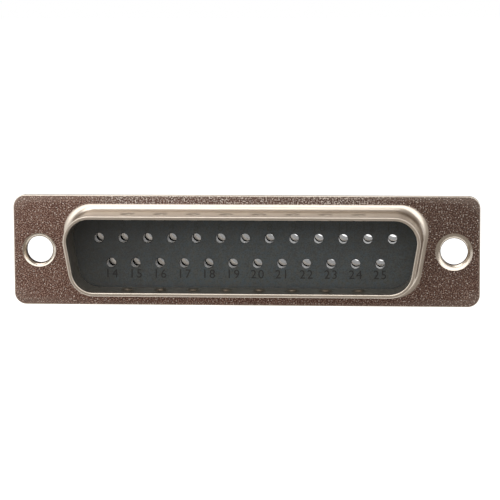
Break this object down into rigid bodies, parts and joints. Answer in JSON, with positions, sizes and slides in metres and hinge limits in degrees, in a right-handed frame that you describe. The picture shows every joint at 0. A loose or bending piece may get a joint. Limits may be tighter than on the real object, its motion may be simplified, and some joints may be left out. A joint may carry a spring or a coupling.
{
  "type": "d-sub connector housing",
  "caption": "D-subminiature plug housing: dimpled steel shells held by two eyelets, and a black insulator with open cavities for crimp contacts.",
  "frame": {"origin": "centre of the flange's front face, midway between the two mounting holes", "axes": "+X along the flange, to the right when the mating face is looked at; the mating face looks along -Y; +Z towards the row of thirteen contacts, the wide side of the D"},
  "size_m": [0.053, 0.0166, 0.0126],
  "materials": {
    "front_shell": "nickel-plated drawn steel, grainy flange, brighter on the bends",
    "rear_shell": "nickel-plated drawn steel",
    "eyelet": "nickel-plated, flared and rolled",
    "insulator": "black moulded thermoplastic with moulded contact numbers",
    "clip": "tin-plated spring copper alloy"
  },
  "bodies": {
    "root": {"front_shell": "front_shell", "rear_shell": "rear_shell", "eyelet_left": "eyelet", "eyelet_right": "eyelet", "front_insulator": "insulator", "rear_insulator": "insulator", "clip_01": "clip", "clip_02": "clip", "clip_03": "clip", "clip_04": "clip", "clip_05": "clip", "clip_06": "clip", "clip_07": "clip", "clip_08": "clip", "clip_09": "clip", "clip_10": "clip", "clip_11": "clip", "clip_12": "clip", "clip_13": "clip", "clip_14": "clip", "clip_15": "clip", "clip_16": "clip", "clip_17": "clip", "clip_18": "clip", "clip_19": "clip", "clip_20": "clip", "clip_21": "clip", "clip_22": "clip", "clip_23": "clip", "clip_24": "clip", "clip_25": "clip"}
  },
  "joints": []
}
